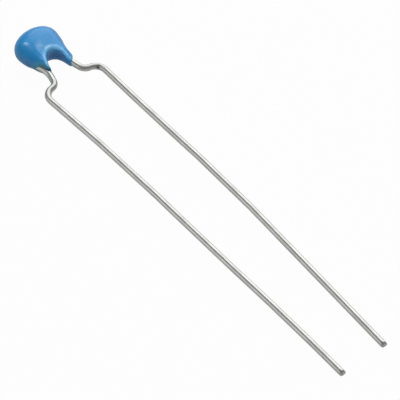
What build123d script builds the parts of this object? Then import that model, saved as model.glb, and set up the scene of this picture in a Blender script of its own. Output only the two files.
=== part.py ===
from build123d import *
from math import atan2, degrees, radians, tan
import os

# Radial-leaded multilayer ceramic capacitor with a dipped epoxy coat, in millimetres.
#
# The part is built flat first: both lead wires lie in the plane Z = 0, X = 0 is the body's
# centre line and Y = 0 is the shoulder line, where the leads leave their kink. The leads run
# towards -Y and the body stands towards +Y. At the end everything is laid down as the part
# comes to rest on a table, on the belly of the coat and on both lead tips, with the origin
# under the middle of the whole part.

# ---- Lead wires: tinned round wire with a formed kink under the body ----
wire_diameter = 0.5
lead_pitch = 5.08                    # between the lead centre lines at the shoulders
left_reach = 33.5                    # shoulder line to the cut end, left lead
right_reach = 33.25                  # shoulder line to the cut end, right lead
kink_inset = 1.31                    # centre line of the narrow corner of the kink
kink_rise = 0.76
shoulder_rise = 0.54
throat_inset = 0.975                 # centre line where the leads enter the coat
throat_rise = 2.05
splay_drop = 0.675                   # the wires run straight beside the chip from this far below it
narrow_kink_radius = 0.68
shoulder_radius = 0.93
gentle_share = 0.4                   # part of its shorter run that a gentle bend may use
wire_stop_short = 0.1                # wire's end below the chip's upper edge

# ---- Ceramic chip, over its terminations ----
chip_length = 2.0                    # along X, from end face to end face
chip_width = 1.25                    # along Y
chip_thickness = 1.0                 # along Z
chip_centre_rise = 4.6
termination_wall = 0.03
termination_band = 0.4

# ---- Inner electrodes ----
electrode_count = 14
electrode_thickness = 0.01
electrode_spacing = 0.055
electrode_side_margin = 0.15         # bare ceramic along each long edge
electrode_end_gap = 0.25             # bare ceramic before the other end's termination

# ---- Solder that joins the wires to the terminations ----
solder_length = 1.1                  # along the wire
solder_reach = 0.42                  # from the end face outwards
solder_half_depth = 0.4              # along Z
solder_film = 0.03                   # between the wire and the end face

# ---- Epoxy coat ----
coat_side_wall = 0.31                # beyond the wires, at the widest line
coat_face_wall = 0.795               # beyond the chip's faces
coat_crown_wall = 0.735              # beyond the chip's upper edge
coat_skirt_wall = 1.045              # beyond the chip's lower edge
coat_lift = 0.13                     # widest line above the chip's centre
arch_lift = 0.37                     # centre of the arch above the throat
arch_splay = 0.01                    # rim's centre line, outside the centre line of the legs
arch_rim_radius = 0.36               # thick rim round the arch
arch_rim_half_depth = 0.5
leg_wall = 0.08                      # over the wire at the foot of a leg
leg_side_wall = 0.13                 # over the wire beside the arch
leg_splay = 0.075                    # leg's centre line beside the arch, outside the throat
foot_splay = 0.08                    # leg's centre line at the foot, outside the one beside the arch
leg_root_drop = 0.78                 # widest line down to where a leg leaves the head
leg_root_margin = 0.19               # the root stays this far inside the widest line
leg_root_radius = 0.78
leg_root_half_depth = 0.95
left_foot = (-0.1, 0.9)              # ragged foot at its inner and outer side, above the throat
right_foot = (-0.55, 0.2)

# ---- Derived sizes ----
wire_radius = wire_diameter / 2
half_pitch = lead_pitch / 2
wire_beside_chip = chip_length / 2 + solder_film + wire_radius
wire_top = chip_centre_rise + chip_width / 2 - wire_stop_short
splay_rise = chip_centre_rise - chip_width / 2 - splay_drop
coat_half_width = wire_beside_chip + wire_radius + coat_side_wall
coat_half_thickness = chip_thickness / 2 + coat_face_wall
coat_crown = chip_width / 2 + coat_crown_wall
coat_skirt = chip_width / 2 + coat_skirt_wall
coat_widest_rise = chip_centre_rise + coat_lift
coat_top = coat_widest_rise + coat_crown
leg_half_width = wire_radius + leg_side_wall
leg_inset = throat_inset + leg_splay
leg_root_inset = coat_half_width - leg_root_margin - leg_root_radius
leg_root_rise = coat_widest_rise - leg_root_drop
arch_radius = leg_inset + arch_splay
arch_centre_rise = throat_rise + arch_lift

# Corners of each lead from the chip to the cut end, as (distance from the centre line, rise).
# The leads are a little bent from handling, each in its own way.
head_corners = [
    (wire_beside_chip, wire_top),
    (wire_beside_chip, splay_rise),
    (throat_inset, throat_rise),
    (kink_inset, kink_rise),
]
left_corners = head_corners + [
    (half_pitch + 0.05, shoulder_rise),
    (half_pitch - 0.445, -9.0),
    (half_pitch - 0.43, -17.5),
    (half_pitch - 0.61, -27.5),
    (half_pitch - 0.54, -left_reach),
]
right_corners = head_corners + [
    (half_pitch - 0.014, shoulder_rise),
    (half_pitch + 0.005, -6.5),
    (half_pitch + 0.205, -14.2),
    (half_pitch - 0.555, -right_reach),
]
tight_radii = {3: narrow_kink_radius, 4: shoulder_radius}


def bend_radii(corners):
    """Radius of each corner: the kink's own, or as gentle as the runs beside it allow."""
    radii = []
    for index in range(1, len(corners) - 1):
        before = Vector(*corners[index]) - Vector(*corners[index - 1])
        after = Vector(*corners[index + 1]) - Vector(*corners[index])
        half_turn = radians(before.get_angle(after) / 2)
        gentle = gentle_share * min(before.length, after.length) / tan(half_turn)
        radii.append(tight_radii.get(index, gentle))
    return radii


def make_lead(corners, side):
    """One lead wire: straight runs and tangent arcs with a round section."""
    route = [(side * inset, rise) for inset, rise in corners]
    path = FilletPolyline(*route, radius=bend_radii(corners))
    section = Plane(origin=path @ 0, z_dir=path % 0) * Circle(wire_radius)
    return sweep(section, path=path)


def chip_block(margin):
    """The chip's outer block, with every face moved in by margin."""
    return Pos(0, chip_centre_rise, 0) * Box(
        chip_length - 2 * margin, chip_width - 2 * margin, chip_thickness - 2 * margin
    )


def make_termination(side):
    """A five-sided metal cap over one end of the ceramic."""
    shift = side * (chip_length - termination_band) / 2
    band = Pos(shift, chip_centre_rise, 0) * Box(termination_band, chip_width, chip_thickness)
    return band - chip_block(termination_wall)


def make_electrode(index):
    """One metal layer: it meets one termination and stops short of the other."""
    side = -1 if index % 2 else 1
    inner_length = chip_length - 2 * termination_wall
    length = inner_length - electrode_end_gap
    width = chip_width - 2 * termination_wall - 2 * electrode_side_margin
    height = (index - (electrode_count - 1) / 2) * electrode_spacing
    place = Pos(side * electrode_end_gap / 2, chip_centre_rise, height)
    return place * Box(length, width, electrode_thickness)


def make_solder(side, lead):
    """Solder that wets the end face and the inner side of the wire."""
    bead = extrude(Plane.XZ * Ellipse(solder_reach, solder_half_depth), solder_length / 2, both=True)
    outside = Pos(solder_reach, 0, 0) * Box(2 * solder_reach, 2 * solder_length, 2 * chip_thickness)
    bead = Pos(chip_length / 2, chip_centre_rise, 0) * (bead & outside)
    return (bead if side > 0 else mirror(bead, about=Plane.YZ)) - lead


def make_leg(side, foot):
    """Tapered sleeve of epoxy round a wire, cut off at a slant where the coat ends."""
    foot_radius = wire_radius + leg_wall
    inner_rise, outer_rise = (throat_rise + lift for lift in foot)
    # centre line, rise, half-width and half-depth of the sleeve, from its foot to its root
    stations = [
        (leg_inset + foot_splay, inner_rise - foot_radius, foot_radius, foot_radius),
        (leg_inset, arch_centre_rise, leg_half_width, arch_rim_half_depth),
        (leg_root_inset, leg_root_rise, leg_root_radius, leg_root_half_depth),
    ]
    rings = [
        Plane.XZ.offset(-rise) * Pos(side * x, 0) * Ellipse(half_width, half_depth)
        for x, rise, half_width, half_depth in stations
    ]
    slope = degrees(atan2(outer_rise - inner_rise, 2 * leg_half_width))
    below = Pos(0, -arch_radius, 0) * Box(4 * arch_radius, 2 * arch_radius, 2 * arch_radius)
    cut = Pos(side * leg_inset, (inner_rise + outer_rise) / 2, 0) * Rot(0, 0, side * slope) * below
    return loft(rings) - cut


def make_coat(inner_pieces):
    """The dipped drop of epoxy with its arch and two legs, hollow round the inner pieces."""
    outline = [
        EllipticalCenterArc((0, coat_widest_rise), coat_half_width, coat_crown, 0),
        EllipticalCenterArc((0, coat_widest_rise), coat_half_width, coat_skirt, 270),
        Line((0, coat_widest_rise - coat_skirt), (0, coat_top)),
    ]
    turned = revolve(make_face(outline), Axis.Y)
    head = scale(turned, by=(1, 1, coat_half_thickness / coat_half_width))
    rim = scale(Torus(arch_radius, arch_rim_radius), by=(1, 1, arch_rim_half_depth / arch_rim_radius))
    upper_half = Pos(0, arch_radius, 0) * Box(4 * arch_radius, 2 * arch_radius, 2 * arch_radius)
    coat = head + Pos(0, arch_centre_rise, 0) * (rim & upper_half)
    coat = coat + make_leg(-1, left_foot) + make_leg(1, right_foot)
    for piece in inner_pieces:
        coat = coat - piece
    return coat


lead_left = make_lead(left_corners, -1)
lead_right = make_lead(right_corners, 1)
electrodes = [make_electrode(index) for index in range(electrode_count)]
ceramic = chip_block(termination_wall)
for electrode in electrodes:
    ceramic = ceramic - electrode

pieces = {
    "lead_wire_left": lead_left,
    "lead_wire_right": lead_right,
    "solder_joint_left": make_solder(-1, lead_left),
    "solder_joint_right": make_solder(1, lead_right),
}
chip_envelope = [chip_block(0)]
pieces["epoxy_coating"] = make_coat(chip_envelope + list(pieces.values()))
pieces["end_termination_left"] = make_termination(-1)
pieces["end_termination_right"] = make_termination(1)
pieces["ceramic_body"] = ceramic
for index, electrode in enumerate(electrodes):
    pieces[f"inner_electrode_{index + 1:02d}"] = electrode

# ---- Lay the part down: belly and lead tips on the table ----
rest_tilt = degrees(atan2(coat_half_thickness - wire_radius, coat_widest_rise + left_reach))
laid = {name: Rot(rest_tilt, 0, 0) * piece for name, piece in pieces.items()}
box = Compound(children=[Compound(piece.wrapped) for piece in laid.values()]).bounding_box()
origin = Pos(-(box.min.X + box.max.X) / 2, -(box.min.Y + box.max.Y) / 2, -box.min.Z)

os.makedirs("parts", exist_ok=True)
for name, piece in laid.items():
    export_step(origin * piece, f"parts/{name}.step")
print("rest tilt", round(rest_tilt, 3), "origin shift", origin.position)
print("box", box.min, box.max)
for name in ("lead_wire_left", "lead_wire_right"):
    print(name, "volume", round(pieces[name].volume, 4))
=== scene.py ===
"""Looks of a dipped multilayer ceramic capacitor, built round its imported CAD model.

The CAD model holds the wires, the chip and everything inside. This script gives the epoxy coat
its soft outer skin, draws both lead wires again with a fine mesh, pinched ends and a press mark,
gives every piece its finish, and sets the table, light and camera.
"""

import logging
import math
from dataclasses import dataclass, field
from enum import Enum
from typing import Callable, Sequence

import bmesh
import bpy
import numpy as np
from mathutils import Matrix, Vector

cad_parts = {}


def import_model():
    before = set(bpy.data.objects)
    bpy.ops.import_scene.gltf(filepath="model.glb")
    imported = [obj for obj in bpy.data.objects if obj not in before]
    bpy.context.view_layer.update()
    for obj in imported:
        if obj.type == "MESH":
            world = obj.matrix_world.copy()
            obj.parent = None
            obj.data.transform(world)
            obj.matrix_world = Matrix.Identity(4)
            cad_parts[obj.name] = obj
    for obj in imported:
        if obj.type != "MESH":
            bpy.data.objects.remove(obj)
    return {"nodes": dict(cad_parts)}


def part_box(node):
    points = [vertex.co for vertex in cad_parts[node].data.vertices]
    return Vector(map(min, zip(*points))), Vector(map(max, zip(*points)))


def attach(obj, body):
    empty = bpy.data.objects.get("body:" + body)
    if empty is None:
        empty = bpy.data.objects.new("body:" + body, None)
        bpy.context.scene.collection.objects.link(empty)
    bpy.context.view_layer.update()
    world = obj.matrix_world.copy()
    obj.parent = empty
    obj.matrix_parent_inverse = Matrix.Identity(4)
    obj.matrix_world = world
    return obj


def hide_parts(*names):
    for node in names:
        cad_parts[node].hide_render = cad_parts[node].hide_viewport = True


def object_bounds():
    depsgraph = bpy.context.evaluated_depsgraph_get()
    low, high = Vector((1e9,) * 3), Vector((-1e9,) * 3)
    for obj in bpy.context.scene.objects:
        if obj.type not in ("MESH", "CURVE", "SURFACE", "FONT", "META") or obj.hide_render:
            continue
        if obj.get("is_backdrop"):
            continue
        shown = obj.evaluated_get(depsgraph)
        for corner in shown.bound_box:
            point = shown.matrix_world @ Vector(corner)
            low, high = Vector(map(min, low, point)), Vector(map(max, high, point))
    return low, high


log = logging.getLogger("capacitor")

MM = 0.001
ROOT = "root"
SKIN = ("epoxy_skin",)
DRAWN = ("drawn_wire_left", "drawn_wire_right")
LEFT_WIRE = "lead_wire_left"
Triple = tuple[float, float, float]
Colour = Triple


class Side(Enum):
    """The two ends of the capacitor, as the sign of their X."""

    LEFT = -1
    RIGHT = 1


# ---------------------------------------------------------------------------------------------
# Shader maths
# ---------------------------------------------------------------------------------------------


class Shade:
    """One output socket of a material, with arithmetic that adds Math nodes."""

    def __init__(self, nodes: "Nodes", socket: bpy.types.NodeSocket) -> None:
        """Wraps a socket.

        Args:
            nodes: The node builder that the socket belongs to.
            socket: The output socket.
        """
        self.nodes = nodes
        self.socket = socket

    def _math(self, operation: str, *values: "Shade | float") -> "Shade":
        """Adds one Math node.

        Args:
            operation: The Math node's operation.
            values: Its inputs, in order.

        Returns:
            The node's result.
        """
        inputs = dict(enumerate(values))
        return self.nodes.add("ShaderNodeMath", {"operation": operation}, inputs)

    def __add__(self, other: "Shade | float") -> "Shade":
        """Sum."""
        return self._math("ADD", self, other)

    def __radd__(self, other: float) -> "Shade":
        """Sum, number first."""
        return self._math("ADD", other, self)

    def __sub__(self, other: "Shade | float") -> "Shade":
        """Difference."""
        return self._math("SUBTRACT", self, other)

    def __rsub__(self, other: float) -> "Shade":
        """Difference, number first."""
        return self._math("SUBTRACT", other, self)

    def __mul__(self, other: "Shade | float") -> "Shade":
        """Product."""
        return self._math("MULTIPLY", self, other)

    def __rmul__(self, other: float) -> "Shade":
        """Product, number first."""
        return self._math("MULTIPLY", other, self)


class Nodes:
    """Builds the node tree of one material or world."""

    def __init__(self, owner: bpy.types.Material | bpy.types.World) -> None:
        """Empties the owner's tree.

        Args:
            owner: The material or world to fill.
        """
        owner.use_nodes = True
        self.tree = owner.node_tree
        self.tree.nodes.clear()

    def add(
        self,
        kind: str,
        settings: dict[str, object] | None = None,
        inputs: dict[str | int, object] | None = None,
        output: str | int = 0,
    ) -> Shade | None:
        """Adds a node of any type.

        Args:
            kind: The node's type name.
            settings: Attributes that are set before the inputs; "stops" fills a colour ramp.
            inputs: Values or links by socket name or number.
            output: The output socket to return.

        Returns:
            The chosen output socket, or None on a node that has none.
        """
        node = self.tree.nodes.new(kind)
        for name, value in (settings or {}).items():
            if name == "stops":
                self._fill_ramp(node.color_ramp, value)
            else:
                setattr(node, name, value)
        for name, value in (inputs or {}).items():
            if isinstance(value, Shade):
                self.tree.links.new(value.socket, node.inputs[name])
            else:
                node.inputs[name].default_value = value
        return Shade(self, node.outputs[output]) if node.outputs else None

    @staticmethod
    def _fill_ramp(ramp: bpy.types.ColorRamp, stops: Sequence[tuple[float, Colour]]) -> None:
        """Sets a ramp's stops.

        Args:
            ramp: The colour ramp.
            stops: Position and colour of each stop, in order.
        """
        while len(ramp.elements) < len(stops):
            ramp.elements.new(1.0)
        for element, (position, colour) in zip(ramp.elements, stops):
            element.position = position
            element.color = (*colour, 1.0)

    def place(self, scale: Sequence[float] = (1.0, 1.0, 1.0)) -> Shade:
        """Object coordinates in millimetres.

        Args:
            scale: Extra stretch along each axis.

        Returns:
            The coordinates.
        """
        coordinates = self.add("ShaderNodeTexCoord", output="Object")
        factors = tuple(value / MM for value in scale)
        return self.add("ShaderNodeMapping", None, {"Vector": coordinates, "Scale": factors})

    def noise(self, place: Shade, scale: float, detail: float = 3.0, rough: float = 0.5) -> Shade:
        """Soft noise from 0 to 1.

        Args:
            place: The coordinates it reads.
            scale: Cells per millimetre.
            detail: Finer layers.
            rough: Strength of the finer layers.

        Returns:
            The noise value.
        """
        inputs = {"Vector": place, "Scale": scale, "Detail": detail, "Roughness": rough}
        return self.add("ShaderNodeTexNoise", None, inputs, "Fac")

    def attribute(self, name: str, output: str = "Fac") -> Shade:
        """An attribute stored on the piece's mesh.

        Args:
            name: The attribute.
            output: "Fac" for a number, "Vector" for a place.

        Returns:
            The attribute's value.
        """
        return self.add("ShaderNodeAttribute", {"attribute_name": name}, None, output)

    def blend(self, factor: Shade, low: object, high: object) -> Shade:
        """Mixes two colours.

        Args:
            factor: 0 gives low, 1 gives high.
            low: Colour or socket.
            high: Colour or socket.

        Returns:
            The mixed colour.
        """
        ends = [value if isinstance(value, Shade) else (*value, 1.0) for value in (low, high)]
        settings = {"data_type": "RGBA", "clamp_factor": True}
        return self.add("ShaderNodeMix", settings, {0: factor, 6: ends[0], 7: ends[1]}, 2)

    def bump(self, height: Shade, strength: float, distance: float) -> Shade:
        """Bump from a height.

        Args:
            height: The height value.
            strength: From 0 to 1.
            distance: Depth in metres at height 1.

        Returns:
            The normal.
        """
        inputs = {"Height": height, "Strength": strength, "Distance": distance}
        return self.add("ShaderNodeBump", None, inputs)

    def finish(self, inputs: dict[str, object]) -> None:
        """Ends the tree in a Principled shader.

        Args:
            inputs: The shader's sockets.
        """
        shader = self.add("ShaderNodeBsdfPrincipled", None, inputs)
        self.add("ShaderNodeOutputMaterial", None, {"Surface": shader})


# ---------------------------------------------------------------------------------------------
# Finishes
# ---------------------------------------------------------------------------------------------


@dataclass(frozen=True)
class GlossyEpoxy:
    """Dipped epoxy: deep blue with soft clouds, a glossy clear skin, faint orange peel and a painted
    highlight band along the arch's rounded edge.
    """

    deep: Colour = (0.003, 0.180, 0.460)
    light: Colour = (0.006, 0.270, 0.600)
    thin: Colour = (0.040, 0.280, 0.420)
    # Colour of the painted highlight band along the arch's rounded edge.
    rim: Colour = (0.170, 0.480, 0.800)
    gloss: float = 0.21
    gloss_spread: tuple[float, float] = (0.10, 0.06)
    specular: float = 0.65
    refraction: float = 1.52
    cloud_cells: float = 0.55
    speck_cells: float = 9.0
    speck_share: float = 0.2
    peel_cells: tuple[float, float] = (2.2, 7.0)
    peel_heights: tuple[float, float] = (0.7, 0.12)
    peel_strength: float = 0.35
    peel_depth: float = 0.02 * MM

    def make(self) -> bpy.types.Material:
        """Makes the material.

        Returns:
            The finished material.
        """
        material = bpy.data.materials.new("dipped_epoxy")
        nodes = Nodes(material)
        place = nodes.place()
        clouds = nodes.noise(place, self.cloud_cells, 2.0)
        specks = nodes.noise(place, self.speck_cells, 2.0)
        thin = nodes.attribute("thinness")
        rim = nodes.attribute("rim")
        tint = clouds * (1.0 - self.speck_share) + specks * self.speck_share
        body = nodes.blend(tint, self.deep, self.light)
        waves = nodes.noise(place, self.peel_cells[0], 2.0) * self.peel_heights[0]
        pores = nodes.noise(place, self.peel_cells[1], 1.0) * self.peel_heights[1]
        speck_spread, cloud_spread = self.gloss_spread
        nodes.finish(
            {
                # Painted highlight: the body colour is lightened along the arch's rounded edge.
                "Base Color": nodes.blend(thin, nodes.blend(rim, body, self.rim), self.thin),
                "Roughness": self.gloss + speck_spread * specks + cloud_spread * clouds,
                "Specular IOR Level": self.specular,
                "IOR": self.refraction,
                "Normal": nodes.bump(waves + pores, self.peel_strength, self.peel_depth),
            }
        )
        return material


@dataclass(frozen=True)
class TinnedWire:
    """Bright tin over drawn wire: long faint draw lines, dull patches and a darker colour in the press
    dent.
    """

    bright: Colour = (0.64, 0.64, 0.615)
    dull: Colour = (0.50, 0.50, 0.475)
    # Colour the wire takes inside the press dent.
    pressed: Colour = (0.17, 0.17, 0.16)
    roughness: float = 0.20
    roughness_spread: Triple = (0.12, 0.06, 0.08)
    line_stretch: Triple = (1.0, 1.0, 0.10)
    crease_stretch: Triple = (0.4, 0.4, 3.0)
    line_cells: float = 5.0
    patch_cells: float = 0.8
    grain_cells: float = 7.0
    crease_cells: float = 3.0
    wear_limits: tuple[float, float] = (0.40, 0.66)
    mark_strength: float = 0.30
    mark_depth: float = 0.004 * MM

    def make(self) -> bpy.types.Material:
        """Makes the material.

        Returns:
            The finished material.
        """
        material = bpy.data.materials.new("tinned_wire")
        nodes = Nodes(material)
        drawn = nodes.attribute("drawn", "Vector")
        worked = nodes.attribute("worked")
        pressed = nodes.attribute("pressed")
        along = nodes.add("ShaderNodeMapping", None, {"Vector": drawn, "Scale": self.line_stretch})
        across = nodes.add("ShaderNodeMapping", None, {"Vector": drawn, "Scale": self.crease_stretch})
        lines = nodes.noise(along, self.line_cells, 3.0)
        patches = nodes.noise(drawn, self.patch_cells, 3.0)
        grain = nodes.noise(drawn, self.grain_cells, 2.0)
        creases = nodes.noise(across, self.crease_cells, 2.0) * worked
        wear = patches * 0.6 + lines * 0.4
        slight, worn = self.wear_limits
        stops = [(slight, (0.0, 0.0, 0.0)), (worn, (1.0, 1.0, 1.0))]
        mask = nodes.add("ShaderNodeValToRGB", {"stops": stops}, {"Fac": wear})
        metal = nodes.blend(mask, self.bright, self.dull)
        height = lines * 0.5 + grain * 0.3 + creases * 0.8
        dull_spread, line_spread, bend_spread = self.roughness_spread
        spread = dull_spread * mask + line_spread * lines + bend_spread * worked
        nodes.finish(
            {
                # Darker colour inside the press dent.
                "Base Color": nodes.blend(pressed, metal, self.pressed),
                "Metallic": 1.0,
                "Roughness": self.roughness + spread,
                "Normal": nodes.bump(height, self.mark_strength, self.mark_depth),
            }
        )
        return material


@dataclass(frozen=True)
class MattMetal:
    """Fired or soldered metal with a cloudy, slightly pitted surface.

    Clouds have cloud_cells cells a millimetre, and each holds grain_cells grains.
    """

    name: str
    light: Colour
    dark: Colour
    roughness: float
    cloud_cells: float = 5.0
    grain_cells: float = 6.0
    roughness_spread: float = 0.15
    pit_depth: float = 0.01 * MM

    def make(self) -> bpy.types.Material:
        """Makes the material.

        Returns:
            The finished material.
        """
        material = bpy.data.materials.new(self.name)
        nodes = Nodes(material)
        place = nodes.place()
        clouds = nodes.noise(place, self.cloud_cells, 3.0)
        grain = nodes.noise(place, self.cloud_cells * self.grain_cells, 2.0)
        nodes.finish(
            {
                "Base Color": nodes.blend(clouds, self.dark, self.light),
                "Metallic": 0.9,
                "Roughness": self.roughness + self.roughness_spread * grain,
                "Normal": nodes.bump(grain, 0.4, self.pit_depth),
            }
        )
        return material


@dataclass(frozen=True)
class SinteredCeramic:
    """Barium titanate ceramic: matt tan with fine darker grain."""

    light: Colour = (0.52, 0.40, 0.27)
    dark: Colour = (0.36, 0.26, 0.16)
    grain_cells: float = 22.0
    cloud_cells: float = 2.5
    roughness: float = 0.55
    roughness_spread: float = 0.2
    grain_depth: float = 0.008 * MM

    def make(self) -> bpy.types.Material:
        """Makes the material.

        Returns:
            The finished material.
        """
        material = bpy.data.materials.new("sintered_ceramic")
        nodes = Nodes(material)
        place = nodes.place()
        grain = nodes.noise(place, self.grain_cells, 4.0, 0.6)
        clouds = nodes.noise(place, self.cloud_cells, 2.0)
        nodes.finish(
            {
                "Base Color": nodes.blend(grain * 0.6 + clouds * 0.4, self.dark, self.light),
                "Roughness": self.roughness + self.roughness_spread * grain,
                "Normal": nodes.bump(grain, 0.5, self.grain_depth),
            }
        )
        return material


# ---------------------------------------------------------------------------------------------
# The lie of the part: where its flat drawing plane sits in the frame
# ---------------------------------------------------------------------------------------------


@dataclass
class Lie:
    """Turns the flat drawing's millimetres into places in the frame.

    In the drawing the leads lie in the plane Z = 0, X = 0 is the body's centre line, Y = 0 is
    the shoulder line and the body stands towards +Y.
    """

    chip_centre_rise: float = 4.6
    wire_radius: float = 0.25
    matrix: Matrix = field(init=False)

    def __post_init__(self) -> None:
        """Reads the chip's centre and the left lead's tip from the frame."""
        low, high = (Vector(corner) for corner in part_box("ceramic_body"))
        centre = (low + high) / 2
        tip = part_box(LEFT_WIRE)[0]
        drop = centre.z - (tip[2] + self.wire_radius * MM)
        tilt = math.atan2(drop, centre.y - tip[1])
        shift = Matrix.Translation(Vector((0.0, -self.chip_centre_rise, 0.0)))
        turn = Matrix.Rotation(tilt, 4, "X")
        self.matrix = Matrix.Translation(centre) @ turn @ Matrix.Scale(MM, 4) @ shift


# ---------------------------------------------------------------------------------------------
# The epoxy coat
# ---------------------------------------------------------------------------------------------

Field = Callable[[np.ndarray], np.ndarray]


def soft_union(first: np.ndarray, second: np.ndarray, width: float) -> np.ndarray:
    """Joins two distance fields with a smooth fillet.

    Args:
        first: Distances to the first form.
        second: Distances to the second form.
        width: Width of the fillet.

    Returns:
        Distances to the joined form.
    """
    share = np.maximum(width - np.abs(first - second), 0.0) / width
    return np.minimum(first, second) - share**2 * width / 4.0


def soft_cut(form: np.ndarray, plane: np.ndarray, width: float) -> np.ndarray:
    """Cuts a distance field with another, with a rounded edge.

    Args:
        form: Distances to the form.
        plane: Distances above the cut.
        width: Width of the rounding.

    Returns:
        Distances to what is left.
    """
    return -soft_union(-form, -plane, width)


@dataclass
class Foot:
    """The ragged end of the coat on one wire: its rise at the inner and outer side."""

    inner_rise: float
    outer_rise: float
    ripple: float = 0.03
    width: float = 0.6
    rounding: float = 0.10


@dataclass
class EpoxyCoat:
    """The dipped drop of epoxy: a flattened head, an arch with a thick rounded edge and two legs.

    All sizes are the drawing's millimetres. A hip, ankle or toe is an inset from the centre line,
    a rise and a radius. A web_foot is the rises between which the web grows to its full depth.
    """

    half_width: float = 1.84
    crown: float = 1.357
    skirt: float = 1.666
    half_thickness: float = 1.295
    widest_rise: float = 4.733
    squareness: float = 2.056
    hip: Triple = (0.893, 3.77, 0.61)
    ankle: Triple = (1.045, 2.05, 0.345)
    toe: Triple = (1.15, 1.3, 0.285)
    fillet: float = 0.566
    arch_rise: float = 2.25
    arch_half_width: float = 0.70
    arch_top: float = 3.31
    arch_lean: float = 0.20
    web_half_width: float = 1.10
    web_half_depth: float = 0.66
    web_lift: float = 0.22
    web_foot: tuple[float, float] = (1.75, 2.85)
    web_foot_depth: float = 0.24
    web_rounding: float = 0.40
    web_blend: float = 0.55
    arch_rounding: float = 0.40
    lump: float = 0.012
    lump_waves: Triple = (2.1, 1.7, 2.3)
    lump_phases: Triple = (1.3, 0.4, 0.9)
    brace_drop: float = 0.6
    brace_end: Triple = (0.0, 3.86, 0.5)
    cone_segments: int = 32
    cone_overlap: float = 0.2
    voxel: float = 0.04
    settling_steps: tuple[int, int] = (6, 5)
    settling_reach: float = 0.15
    thin_width: float = 0.18
    # Where the painted highlight band lies round the arch: inset, width and start towards the faces.
    highlight_inset: float = 0.16
    highlight_width: float = 0.13
    highlight_face_start: float = 0.6
    feet: dict[Side, Foot] = field(
        default_factory=lambda: {
            Side.LEFT: Foot(1.98, 2.85),
            Side.RIGHT: Foot(1.55, 2.2),
        }
    )

    def head(self, p: np.ndarray) -> np.ndarray:
        """Distance to the head.

        Args:
            p: Points, one a row.

        Returns:
            About the distance of each point.
        """
        rise = p[:, 1] - self.widest_rise
        height = np.where(rise > 0, self.crown, self.skirt)
        n = self.squareness
        total = np.abs(p[:, 0] / self.half_width) ** n
        total += np.abs(rise / height) ** n
        total += np.abs(p[:, 2] / self.half_thickness) ** n
        radius = total ** (1.0 / n)
        return (radius - 1.0) * np.minimum(height, self.half_thickness)

    @staticmethod
    def sleeve(p: np.ndarray, side: int, start: Sequence[float], end: Sequence[float]) -> np.ndarray:
        """Distance to a tapered sleeve with round ends.

        Args:
            p: Points, one a row.
            side: Sign of X.
            start: Inset, rise and radius of the upper end.
            end: Inset, rise and radius of the lower end.

        Returns:
            The distance of each point.
        """
        first = np.array((side * start[0], start[1], 0.0))
        run = np.array((side * end[0], end[1], 0.0)) - first
        along = np.clip((p - first) @ run / (run @ run), 0.0, 1.0)
        radius = start[2] + (end[2] - start[2]) * along
        return np.linalg.norm(p - first - along[:, None] * run, axis=1) - radius

    def web(self, p: np.ndarray) -> np.ndarray:
        """Distance to the thick web between and along the legs, before its arch is taken out.

        Args:
            p: Points, one a row.

        Returns:
            About the distance of each point.
        """
        low, high = self.web_foot
        swell = np.clip((p[:, 1] - low) / (high - low), 0.0, 1.0)
        swell = swell * swell * (3.0 - 2.0 * swell)
        half_depth = self.web_foot_depth + (self.web_half_depth - self.web_foot_depth) * swell
        depth = np.abs(p[:, 2] - self.web_lift * swell) - half_depth
        sides = np.abs(p[:, 0]) - self.web_half_width
        ends = np.maximum(p[:, 1] - self.widest_rise, low - p[:, 1])
        outline = np.maximum(sides, ends)
        r = self.web_rounding
        corner = np.maximum(np.stack((outline + r, depth + r), axis=1), 0.0)
        return np.linalg.norm(corner, axis=1) + np.minimum(np.maximum(outline, depth) + r, 0.0) - r

    def arch(self, p: np.ndarray) -> np.ndarray:
        """Depth inside the arch, a round-topped tunnel between the legs.

        Args:
            p: Points, one a row.

        Returns:
            Positive in the open arch, negative in the coat.
        """
        across = p[:, 0] / self.arch_half_width
        rise = p[:, 1] + self.arch_lean * (p[:, 2] - self.web_lift)
        up = np.maximum(rise - self.arch_rise, 0.0) / (self.arch_top - self.arch_rise)
        return (1.0 - np.sqrt(across**2 + up**2)) * self.arch_half_width

    def leg(self, p: np.ndarray, side: Side) -> np.ndarray:
        """Distance to one leg.

        Args:
            p: Points, one a row.
            side: Which leg.

        Returns:
            About the distance of each point.
        """
        sign = side.value
        upper = self.sleeve(p, sign, self.hip, self.ankle)
        lower = self.sleeve(p, sign, self.ankle, self.toe)
        return np.minimum(upper, lower)

    def foot_plane(self, p: np.ndarray, side: Side) -> np.ndarray:
        """Height below the slanted, rippled edge where the coat ends on a wire.

        Args:
            p: Points, one a row.
            side: Which leg.

        Returns:
            Positive below the edge, negative in the coat.
        """
        sign = side.value
        foot = self.feet[side]
        slope = (foot.outer_rise - foot.inner_rise) / foot.width
        lean = math.hypot(1.0, slope)
        out = sign * p[:, 0] - self.ankle[0]
        middle = (foot.outer_rise + foot.inner_rise) / 2
        angle = np.arctan2(p[:, 2], out)
        ripple = foot.ripple * (np.sin(3.0 * angle + sign) + 0.6 * np.sin(5.0 * angle + 2.0))
        edge = (middle + slope * out - p[:, 1]) / lean + ripple
        beyond_centre = sign * p[:, 0] > foot.width / 3.0
        return np.where(beyond_centre, edge, -1.0)

    def surface(self, p: np.ndarray) -> np.ndarray:
        """Distance to the whole coat.

        Args:
            p: Points, one a row.

        Returns:
            About the distance of each point.
        """
        legs = np.minimum(self.leg(p, Side.LEFT), self.leg(p, Side.RIGHT))
        form = soft_union(self.head(p), legs, self.fillet)
        form = soft_union(form, self.web(p), self.web_blend)
        form = soft_cut(form, self.arch(p), self.arch_rounding)
        for side in Side:
            form = soft_cut(form, self.foot_plane(p, side), self.feet[side].rounding)
        waves = np.sin(p * np.array(self.lump_waves) + np.array(self.lump_phases))
        return form - self.lump * waves.prod(axis=1)

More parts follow.
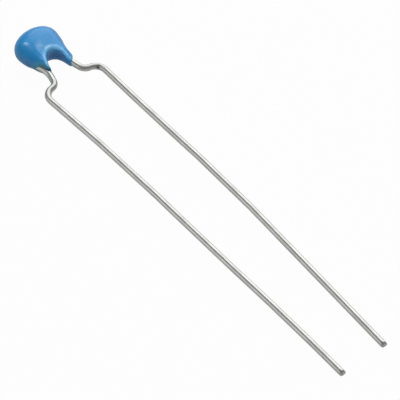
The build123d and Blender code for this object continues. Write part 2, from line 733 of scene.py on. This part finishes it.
    def blank(self) -> bpy.types.Mesh:
        """Makes a rough closed blank from simple forms melted together.

        Returns:
            The blank's mesh, in drawing millimetres.
        """
        bm = bmesh.new()
        middle = Matrix.Translation((0.0, self.widest_rise - 0.1, 0.0))
        size = Matrix.Diagonal((self.half_width, self.skirt * 0.93, self.half_thickness, 1.0))
        bmesh.ops.create_icosphere(bm, subdivisions=4, radius=1.0, matrix=middle @ size)
        for side in Side:
            for start, end in ((self.hip, self.ankle), (self.ankle, self.toe)):
                self._add_cone(bm, side.value, start, end)
        brace_start = (self.hip[0], self.hip[1] - self.brace_drop, self.web_half_depth * 0.8)
        for side in Side:
            self._add_cone(bm, side.value, brace_start, self.brace_end)
        mesh = bpy.data.meshes.new("coat_blank")
        bm.to_mesh(mesh)
        bm.free()
        return mesh

    def _add_cone(
        self, bm: bmesh.types.BMesh, sign: int, start: Sequence[float], end: Sequence[float]
    ) -> None:
        """Adds one closed cone between two rings.

        Args:
            bm: The mesh to add to.
            sign: Sign of X.
            start: Inset, rise and radius of the upper end.
            end: Inset, rise and radius of the lower end.
        """
        first = Vector((sign * start[0], start[1], 0.0))
        last = Vector((sign * end[0], end[1], 0.0))
        run = last - first
        turn = run.to_track_quat("Z", "Y").to_matrix().to_4x4()
        place = Matrix.Translation((first + last) / 2) @ turn
        bmesh.ops.create_cone(
            bm,
            cap_ends=True,
            segments=self.cone_segments,
            radius1=start[2],
            radius2=end[2],
            depth=run.length + self.cone_overlap,
            matrix=place,
        )

    def settle(self, mesh: bpy.types.Mesh, steps: int) -> None:
        """Moves a blank's vertices onto the coat's surface and evens them out.

        Args:
            mesh: The mesh to move.
            steps: Rounds of evening out and settling.
        """
        bm = bmesh.new()
        bm.from_mesh(mesh)
        for _ in range(steps):
            bmesh.ops.smooth_vert(
                bm, verts=bm.verts, factor=0.5, use_axis_x=True, use_axis_y=True, use_axis_z=True
            )
            points = np.array([vertex.co for vertex in bm.verts])
            for vertex, place in zip(bm.verts, self.drawn_to_surface(points)):
                vertex.co = place
        bmesh.ops.recalc_face_normals(bm, faces=bm.faces)
        bm.to_mesh(mesh)
        bm.free()

    def drawn_to_surface(self, points: np.ndarray, rounds: int = 3) -> np.ndarray:
        """Steps points down the distance field until they lie on the surface.

        Args:
            points: The points.
            rounds: Steps to take.

        Returns:
            The moved points.
        """
        step = 1e-3
        for _ in range(rounds):
            value = self.surface(points)
            slopes = []
            for axis in range(3):
                ahead = points.copy()
                ahead[:, axis] += step
                slopes.append((self.surface(ahead) - value) / step)
            gradient = np.stack(slopes, axis=1)
            steepness = np.maximum((gradient**2).sum(axis=1), 0.05)
            move = gradient * (value / steepness)[:, None]
            distance = np.maximum(np.linalg.norm(move, axis=1), 1e-9)
            limit = np.minimum(1.0, self.settling_reach / distance)
            points = points - move * limit[:, None]
        return points

    def build(self, lie: Lie) -> bpy.types.Object:
        """Builds the coat's skin in the frame.

        Args:
            lie: Where the drawing plane sits.

        Returns:
            The finished piece.
        """
        blank = bpy.data.objects.new("coat_blank", self.blank())
        bpy.context.collection.objects.link(blank)
        melt = blank.modifiers.new("melt", "REMESH")
        melt.mode = "VOXEL"
        melt.voxel_size = self.voxel
        for steps in self.settling_steps:
            graph = bpy.context.evaluated_depsgraph_get()
            mesh = bpy.data.meshes.new_from_object(blank.evaluated_get(graph))
            self.settle(mesh, steps)
            blank.data = mesh
        bpy.data.objects.remove(blank)
        self.mark_thin_coat(mesh)
        mesh.transform(lie.matrix)
        mesh.name = "epoxy_skin"
        mesh.shade_smooth()
        return bpy.data.objects.new("epoxy_skin", mesh)

    def mark_thin_coat(self, mesh: bpy.types.Mesh) -> None:
        """Stores how thin the coat is at its feet, and a painted highlight band round the arch's
        rounded edge, for its colour.

        Args:
            mesh: The coat's mesh in drawing millimetres.
        """
        points = np.array([vertex.co for vertex in mesh.vertices])
        edge = np.full(len(points), 1.0)
        for side in Side:
            edge = np.minimum(edge, -self.foot_plane(points, side))
        thin = np.clip(1.0 - edge / self.thin_width, 0.0, 1.0)
        # Painted highlight band just inside the arch's edge, on its faces only.
        rim_highlight_band = np.exp(-(((self.arch(points) + self.highlight_inset) / self.highlight_width) ** 2))
        faces = np.clip(np.abs(points[:, 2]) / self.ankle[2] - self.highlight_face_start, 0.0, 1.0)
        for name, values in (("thinness", thin), ("rim", rim_highlight_band * faces)):
            layer = mesh.attributes.new(name, "FLOAT", "POINT")
            layer.data.foreach_set("value", values.astype(np.float32))

    def dress(self, piece: bpy.types.Object) -> None:
        """Gives the skin its finish and its place in the frame.

        Args:
            piece: The coat's skin.
        """
        piece.data.materials.append(GlossyEpoxy().make())
        bpy.context.collection.objects.link(piece)
        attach(piece, ROOT)
        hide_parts("epoxy_coating")


# ---------------------------------------------------------------------------------------------
# Lead wires and chip
# ---------------------------------------------------------------------------------------------


@dataclass
class Lead:
    """One formed wire: straight runs and tangent bends, cut off with side cutters.

    A corner is its inset from the centre line and its rise, in the drawing's millimetres. A press
    mark is its inset, rise and height, and tight_bends holds the radius of each sharp corner.
    """

    side: Side
    corners: list[tuple[float, float]]
    press_mark: Triple | None = None
    press_depth: float = 0.09
    press_width: float = 0.15
    tight_bends: dict[int, float] = field(default_factory=lambda: {3: 0.68, 4: 0.93})
    gentle_share: float = 0.4
    radius: float = 0.25
    segments: int = 48
    ring_spacing: float = 0.25
    bend_step: float = math.radians(4.0)
    pinch_length: float = 0.13
    pinch: tuple[float, float] = (0.98, 0.62)

    def route(self) -> list[Vector]:
        """The corners as places in the drawing.

        Returns:
            The corners from the chip to the cut end.
        """
        return [Vector((self.side.value * inset, rise, 0.0)) for inset, rise in self.corners]

    def bends(self) -> list[tuple[float, float]]:
        """The turn and radius of each inner corner.

        Returns:
            Signed turn about +Z and radius, in order.
        """
        route = self.route()
        bends = []
        for index in range(1, len(route) - 1):
            before = route[index] - route[index - 1]
            after = route[index + 1] - route[index]
            turn = math.atan2(before.cross(after).z, before.dot(after))
            gentle = self.gentle_share * min(before.length, after.length) / math.tan(abs(turn) / 2)
            bends.append((turn, self.tight_bends.get(index, gentle)))
        return bends

    def build(self, lie: Lie) -> bpy.types.Object:
        """Draws the wire ring by ring along its runs and bends.

        Args:
            lie: Where the drawing plane sits.

        Returns:
            The finished wire.
        """
        route = self.route()
        bends = [(0.0, 0.0), *self.bends(), (0.0, 0.0)]
        bm = bmesh.new()
        marks = self._add_marks(bm)
        heading = (route[1] - route[0]).normalized()
        turn = heading.to_track_quat("Z", "X").to_matrix().to_4x4()
        start = Matrix.Translation(route[0]) @ turn
        bmesh.ops.create_circle(bm, segments=self.segments, radius=self.radius, matrix=start)
        ring = list(bm.edges)
        bmesh.ops.edgeloop_fill(bm, edges=ring)
        place = route[0]
        length = 0.0
        self._mark(ring, place, heading, length, 0.0, marks)
        for index in range(1, len(route)):
            heading = (route[index] - route[index - 1]).normalized()
            angle, radius = bends[index]
            reach = radius * math.tan(abs(angle) / 2) if index < len(route) - 1 else self.pinch_length
            run = (route[index] - place).dot(heading) - reach
            steps = max(1, round(run / self.ring_spacing))
            for _ in range(steps):
                ring = self._pushed(bm, ring, heading * (run / steps))
                place = place + heading * (run / steps)
                length += run / steps
                self._mark(ring, place, heading, length, 0.0, marks)
            if index == len(route) - 1:
                break
            inward = Vector((-heading.y, heading.x, 0.0)) * math.copysign(radius, angle)
            centre = place + inward
            steps = max(1, round(abs(angle) / self.bend_step))
            worked = 1.0 if index in self.tight_bends else 0.0
            for _ in range(steps):
                geometry = bmesh.ops.spin(
                    bm,
                    geom=ring,
                    cent=centre,
                    axis=(0.0, 0.0, 1.0),
                    angle=angle / steps,
                    steps=1,
                    use_duplicate=False,
                )["geom_last"]
                ring = [item for item in geometry if isinstance(item, bmesh.types.BMEdge)]
                step = Matrix.Rotation(angle / steps, 3, "Z")
                place = centre + step @ (place - centre)
                heading = step @ heading
                length += radius * abs(angle) / steps
                self._mark(ring, place, heading, length, worked, marks)
        ring = self._pushed(bm, ring, heading * self.pinch_length)
        self._pinch_off(bm, ring, place + heading * self.pinch_length, heading)
        self._mark(ring, place, heading, length + self.pinch_length, 0.0, marks)
        bmesh.ops.edgeloop_fill(bm, edges=ring)
        self._press(bm)
        bmesh.ops.recalc_face_normals(bm, faces=bm.faces)
        mesh = bpy.data.meshes.new(self.name)
        bm.to_mesh(mesh)
        bm.free()
        mesh.transform(lie.matrix)
        mesh.shade_smooth()
        return bpy.data.objects.new(self.name, mesh)

    @property
    def name(self) -> str:
        """The piece's name."""
        return f"drawn_wire_{self.side.name.lower()}"

    @staticmethod
    def _add_marks(bm: bmesh.types.BMesh) -> tuple[object, object]:
        """Adds the layers that the finish reads.

        Args:
            bm: The wire's mesh.

        Returns:
            The layer of places on the drawn surface and the layer of worked metal.
        """
        return bm.verts.layers.float_vector.new("drawn"), bm.verts.layers.float.new("worked")

    def _mark(
        self,
        ring: Sequence[bmesh.types.BMEdge],
        place: Vector,
        heading: Vector,
        length: float,
        worked: float,
        marks: tuple[object, object],
    ) -> None:
        """Stores where a ring lies along the wire.

        Args:
            ring: The ring's edges.
            place: Its middle.
            heading: The wire's direction there.
            length: Its distance along the wire.
            worked: 1 where the metal was bent sharply.
            marks: The two layers.
        """
        beside = Vector((-heading.y, heading.x, 0.0))
        drawn_layer, worked_layer = marks
        for vertex in {vertex for edge in ring for vertex in edge.verts}:
            offset = (vertex.co - place) / self.radius
            vertex[drawn_layer] = Vector((offset.dot(beside), offset.z, length))
            vertex[worked_layer] = worked

    @staticmethod
    def _pushed(
        bm: bmesh.types.BMesh, ring: Sequence[bmesh.types.BMEdge], shift: Vector
    ) -> list[bmesh.types.BMEdge]:
        """Draws a ring on by one step.

        Args:
            bm: The wire's mesh.
            ring: The last ring.
            shift: The step.

        Returns:
            The new ring.
        """
        geometry = bmesh.ops.extrude_edge_only(bm, edges=ring)["geom"]
        verts = [item for item in geometry if isinstance(item, bmesh.types.BMVert)]
        bmesh.ops.translate(bm, verts=verts, vec=shift)
        return [item for item in geometry if isinstance(item, bmesh.types.BMEdge)]

    def _pinch_off(
        self, bm: bmesh.types.BMesh, ring: Sequence[bmesh.types.BMEdge], place: Vector, heading: Vector
    ) -> None:
        """Flattens the last ring to the blunt edge that side cutters leave.

        Args:
            bm: The wire's mesh.
            ring: The last ring.
            place: Its middle.
            heading: The wire's direction there.
        """
        verts = list({vertex for edge in ring for vertex in edge.verts})
        turn = Matrix.Rotation(math.atan2(heading.y, heading.x), 4, "Z")
        space = (Matrix.Translation(place) @ turn).inverted()
        bmesh.ops.scale(bm, vec=(1.0, *self.pinch), space=space, verts=verts)

    def _press(self, bm: bmesh.types.BMesh) -> None:
        """Dents the wire where the forming tool gripped it, and stores the dent's share for its darker
        colour.

        Args:
            bm: The wire's mesh.
        """
        if self.press_mark is None:
            return
        inset, rise, height = self.press_mark
        centre = Vector((self.side.value * inset, rise, height))
        pressed = bm.verts.layers.float.new("pressed")
        for vertex in bm.verts:
            share = math.exp(-(((vertex.co - centre).length / self.press_width) ** 2))
            vertex.co.z -= self.press_depth * share
            vertex[pressed] = share

    def dress(self, piece: bpy.types.Object, material: bpy.types.Material) -> None:
        """Gives the wire its finish and its place in the frame.

        Args:
            piece: The wire.
            material: Its finish.
        """
        piece.data.materials.append(material)
        bpy.context.collection.objects.link(piece)
        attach(piece, ROOT)
        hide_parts(f"lead_wire_{self.side.name.lower()}")


HALF_PITCH = 2.54
HEAD_CORNERS = [(1.28, 5.125), (1.28, 3.3), (0.975, 2.05), (1.31, 0.76)]
LEADS = (
    Lead(
        Side.LEFT,
        HEAD_CORNERS
        + [
            (HALF_PITCH + 0.05, 0.54),
            (HALF_PITCH - 0.445, -9.0),
            (HALF_PITCH - 0.43, -17.5),
            (HALF_PITCH - 0.61, -27.5),
            (HALF_PITCH - 0.54, -33.5),
        ],
    ),
    Lead(
        Side.RIGHT,
        HEAD_CORNERS
        + [
            (HALF_PITCH - 0.014, 0.54),
            (HALF_PITCH + 0.005, -6.5),
            (HALF_PITCH + 0.205, -14.2),
            (HALF_PITCH - 0.555, -33.25),
        ],
        press_mark=(2.2, 0.18, 0.175),
    ),
)


@dataclass
class Chip:
    """The ceramic chip with its end caps, solder and electrodes."""

    caps: MattMetal = MattMetal("fired_end_cap", (0.74, 0.72, 0.68), (0.55, 0.53, 0.50), 0.38)
    solder: MattMetal = MattMetal("solder", (0.68, 0.69, 0.70), (0.50, 0.51, 0.52), 0.28, 3.0)
    film: MattMetal = MattMetal("fired_nickel_film", (0.60, 0.59, 0.56), (0.46, 0.45, 0.42), 0.42, 9.0)
    ceramic: SinteredCeramic = field(default_factory=SinteredCeramic)

    def dress(self, nodes: dict[str, bpy.types.Object]) -> None:
        """Gives each inner piece its finish.

        Args:
            nodes: The CAD nodes by name.
        """
        finishes = {
            "end_termination": self.caps.make(),
            "solder_joint": self.solder.make(),
            "inner_electrode": self.film.make(),
            "ceramic_body": self.ceramic.make(),
        }
        for name, node in nodes.items():
            for start, material in finishes.items():
                if name.startswith(start):
                    assign(node, material)


def assign(node: bpy.types.Object, material: bpy.types.Material) -> None:
    """Puts one material in every slot of a node.

    Args:
        node: The object.
        material: Its material.
    """
    if not node.material_slots:
        node.data.materials.append(material)
    for slot in node.material_slots:
        slot.material = material


# ---------------------------------------------------------------------------------------------
# Table, light and camera
# ---------------------------------------------------------------------------------------------


@dataclass(frozen=True)
class SoftLamp:
    """A round soft light on a dome over the part."""

    name: str
    direction: Vector
    distance: float
    size: float
    radiance: float
    only_on: tuple[str, ...] = ()

    def hang(self, middle: Vector) -> None:
        """Hangs the lamp over the part.

        Args:
            middle: The middle of the part.
        """
        lamp = bpy.data.lights.new(self.name, "AREA")
        lamp.shape = "DISK"
        lamp.size = self.size
        lamp.energy = self.radiance * math.pi * math.pi * self.size**2 / 4.0
        light = bpy.data.objects.new(self.name, lamp)
        light.location = middle + self.direction.normalized() * self.distance
        light.rotation_mode = "QUATERNION"
        light.rotation_quaternion = (-self.direction).to_track_quat("-Z", "Y")
        bpy.context.collection.objects.link(light)
        if self.only_on:
            lit = bpy.data.collections.new(f"lit_by_{self.name}")
            for name in self.only_on:
                lit.objects.link(bpy.data.objects[name])
            light.light_linking.receiver_collection = lit


@dataclass
class Studio:
    """A white table under large soft lights, and the camera."""

    azimuth: float = -38.334
    elevation: float = 47.364
    distance: float = 0.44265
    focal_length: float = 550.9
    sensor: float = 36.0
    look_inset: float = 0.112
    look_rise: float = -14.526
    look_height: float = 0.027
    table_half: float = 1.5
    table_colour: float = 0.9
    table_glow_seen: float = 0.97
    table_glow_mirrored: float = 0.25
    surroundings: float = 0.28
    surroundings_tint: Colour = (0.96, 0.98, 1.0)
    clip: tuple[float, float] = (0.01, 10.0)
    lamps: tuple[SoftLamp, ...] = (
        SoftLamp("rim_light", Vector((0.42, -0.50, 0.76)), 0.45, 0.20, 5.0, SKIN),
        SoftLamp("key_light", Vector((0.62, 0.50, 0.60)), 0.55, 0.78, 1.32),
        SoftLamp("side_fill", Vector((-0.80, 0.40, 0.36)), 0.50, 0.45, 0.62, DRAWN),
        SoftLamp("window", Vector((-0.373, 0.551, 0.747)), 0.45, 0.17, 7.4, SKIN),
        SoftLamp("ceiling_lamp", Vector((0.138, -0.049, 0.989)), 0.45, 0.17, 6.0, SKIN),
    )

    def table(self) -> bpy.types.Object:
        """Makes the table top.

        Returns:
            The table.
        """
        bm = bmesh.new()
        bmesh.ops.create_grid(bm, x_segments=1, y_segments=1, size=self.table_half)
        mesh = bpy.data.meshes.new("table_top")
        bm.to_mesh(mesh)
        bm.free()
        material = bpy.data.materials.new("white_table")
        nodes = Nodes(material)
        grey = (self.table_colour, self.table_colour, self.table_colour, 1.0)
        paper = nodes.add("ShaderNodeBsdfDiffuse", None, {"Color": grey})
        glow = nodes.add("ShaderNodeEmission", None, {"Color": (1, 1, 1, 1), "Strength": 1.0})
        seen = nodes.add("ShaderNodeLightPath", output="Is Camera Ray")
        mirrored = nodes.add("ShaderNodeLightPath", output="Is Glossy Ray")
        share = seen * self.table_glow_seen + mirrored * self.table_glow_mirrored
        lit_paper = nodes.add("ShaderNodeMixShader", None, {0: share, 1: paper, 2: glow})
        nodes.add("ShaderNodeOutputMaterial", None, {"Surface": lit_paper})
        table = bpy.data.objects.new("table_top", mesh)
        table.data.materials.append(material)
        bpy.context.collection.objects.link(table)
        table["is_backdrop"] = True
        return table

    def light(self, middle: Vector) -> None:
        """Sets the soft lights and the surroundings.

        Args:
            middle: The middle of the part.
        """
        for lamp in self.lamps:
            lamp.hang(middle)
        world = bpy.data.worlds.new("studio")
        bpy.context.scene.world = world
        nodes = Nodes(world)
        ground = {"Color": (*self.surroundings_tint, 1.0), "Strength": self.surroundings}
        around = nodes.add("ShaderNodeBackground", None, ground)
        white = nodes.add("ShaderNodeBackground", None, {"Strength": 1.0})
        seen = nodes.add("ShaderNodeLightPath", output="Is Camera Ray")
        sky = nodes.add("ShaderNodeMixShader", None, {0: seen, 1: around, 2: white})
        nodes.add("ShaderNodeOutputWorld", None, {"Surface": sky})

    def camera(self, lie: Lie) -> None:
        """Places the camera.

        Args:
            lie: Where the drawing plane sits.
        """
        azimuth = math.radians(self.azimuth)
        elevation = math.radians(self.elevation)
        level = Vector((math.sin(azimuth), -math.cos(azimuth), 0.0)) * math.cos(elevation)
        back = level + Vector((0.0, 0.0, math.sin(elevation)))
        aim = lie.matrix @ Vector((self.look_inset, self.look_rise, self.look_height))
        data = bpy.data.cameras.new("camera")
        data.lens = self.focal_length
        data.sensor_width = self.sensor
        data.clip_start, data.clip_end = self.clip
        camera = bpy.data.objects.new("camera", data)
        camera.location = aim + back * self.distance
        camera.rotation_mode = "QUATERNION"
        camera.rotation_quaternion = (-back).to_track_quat("-Z", "Y")
        bpy.context.collection.objects.link(camera)
        bpy.context.scene.camera = camera


def main() -> None:
    logging.basicConfig(level=logging.INFO, format="%(name)s: %(message)s")
    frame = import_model()
    cad_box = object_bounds()
    bpy.context.scene.view_settings.view_transform = "Standard"
    lie = Lie()

    coat = EpoxyCoat()
    skin = coat.build(lie)
    coat.dress(skin)
    log.info("%s: %d faces", skin.name, len(skin.data.polygons))

    tin = TinnedWire().make()
    for lead in LEADS:
        wire = lead.build(lie)
        lead.dress(wire, tin)
        log.info("%s: %d faces", wire.name, len(wire.data.polygons))

    Chip().dress(frame["nodes"])
    log.info("chip dressed")

    studio = Studio()
    middle = sum((Vector(corner) for corner in cad_box), Vector()) / 2
    studio.table()
    studio.light(middle)
    studio.camera(lie)
    log.info("studio set")


if __name__ == "__main__":
    main()
